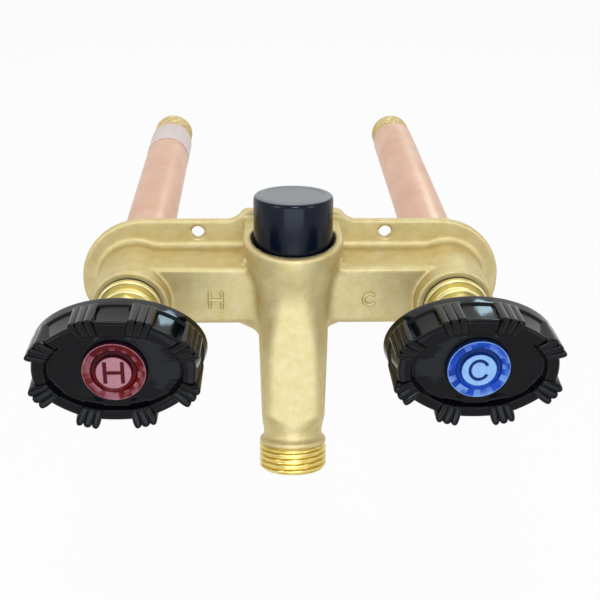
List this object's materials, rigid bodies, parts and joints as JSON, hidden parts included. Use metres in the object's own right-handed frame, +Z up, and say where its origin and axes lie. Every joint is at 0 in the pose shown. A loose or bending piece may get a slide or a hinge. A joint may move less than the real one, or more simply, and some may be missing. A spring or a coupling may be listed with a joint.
{
  "type": "frost-free wall faucet",
  "caption": "Two-handle frost-free wall faucet: cast brass body on a wall flange, long copper inlet tubes, black oval handles, vacuum breaker cap and a threaded hose spout.",
  "frame": {"origin": "on the wall plane at the flange's back face, midway between the two stems at their height", "axes": "+X to the right seen from the front, +Y into the wall along the tubes, +Z up; the handles face -Y"},
  "size_m": [0.1904, 0.2872, 0.1152],
  "materials": {
    "cast_brass": "sand-cast, satin",
    "turned_brass": "machined, bright",
    "copper": "drawn copper tube, satin",
    "black_enamel": "gloss black enamel on a die casting",
    "black_plastic": "moulded, gloss",
    "red_plastic": "translucent, gloss",
    "blue_plastic": "translucent, gloss",
    "black_rubber": "moulded, matt",
    "white_plastic": "moulded, matt",
    "steel": "stainless, plain",
    "paper": "plain paper, matt"
  },
  "bodies": {
    "root": {"valve_body": "cast_brass", "vent_insert": "turned_brass", "vent_gasket": "black_rubber", "vent_cap": "black_plastic", "hot_tube_band": "paper", "hot_tube": "copper", "hot_inlet": "turned_brass", "hot_bonnet_gasket": "black_rubber", "hot_bonnet": "turned_brass", "hot_packing": "white_plastic", "hot_packing_washer": "turned_brass", "hot_packing_nut": "turned_brass", "cold_tube": "copper", "cold_inlet": "turned_brass", "cold_bonnet_gasket": "black_rubber", "cold_bonnet": "turned_brass", "cold_packing": "white_plastic", "cold_packing_washer": "turned_brass", "cold_packing_nut": "turned_brass"},
    "hot_washer_carrier": {"hot_washer_holder": "turned_brass", "hot_seat_washer": "black_rubber", "hot_washer_screw": "turned_brass"},
    "hot_spindle": {"hot_stem": "turned_brass", "hot_handle": "black_enamel", "hot_handle_screw": "steel", "hot_button": "red_plastic"},
    "cold_washer_carrier": {"cold_washer_holder": "turned_brass", "cold_seat_washer": "black_rubber", "cold_washer_screw": "turned_brass"},
    "cold_spindle": {"cold_stem": "turned_brass", "cold_handle": "black_enamel", "cold_handle_screw": "steel", "cold_button": "blue_plastic"},
    "vent_poppet": {"vent_float": "white_plastic", "float_seal": "black_rubber"}
  },
  "joints": [
    {"name": "hot_lift", "type": "slide", "parent": "root", "child": "hot_washer_carrier", "axis": [0, -1, 0], "range_m": [0, 0.006]},
    {"name": "hot_turn", "type": "hinge", "parent": "hot_washer_carrier", "child": "hot_spindle", "pos_m": [-0.0635, -0.06, 0], "axis": [0, -1, 0], "range_deg": [0, 721]},
    {"name": "cold_lift", "type": "slide", "parent": "root", "child": "cold_washer_carrier", "axis": [0, -1, 0], "range_m": [0, 0.006]},
    {"name": "cold_turn", "type": "hinge", "parent": "cold_washer_carrier", "child": "cold_spindle", "pos_m": [0.0635, -0.06, 0], "axis": [0, -1, 0], "range_deg": [0, 721]},
    {"name": "vent_rise", "type": "slide", "parent": "root", "child": "vent_poppet", "axis": [0, 0.1045, 0.9945], "range_m": [0, 0.004]}
  ],
  "couplings": [
    {"joint": "hot_turn", "follows": "hot_lift", "rad_per_m": 2094.4},
    {"joint": "cold_turn", "follows": "cold_lift", "rad_per_m": 2094.4}
  ]
}
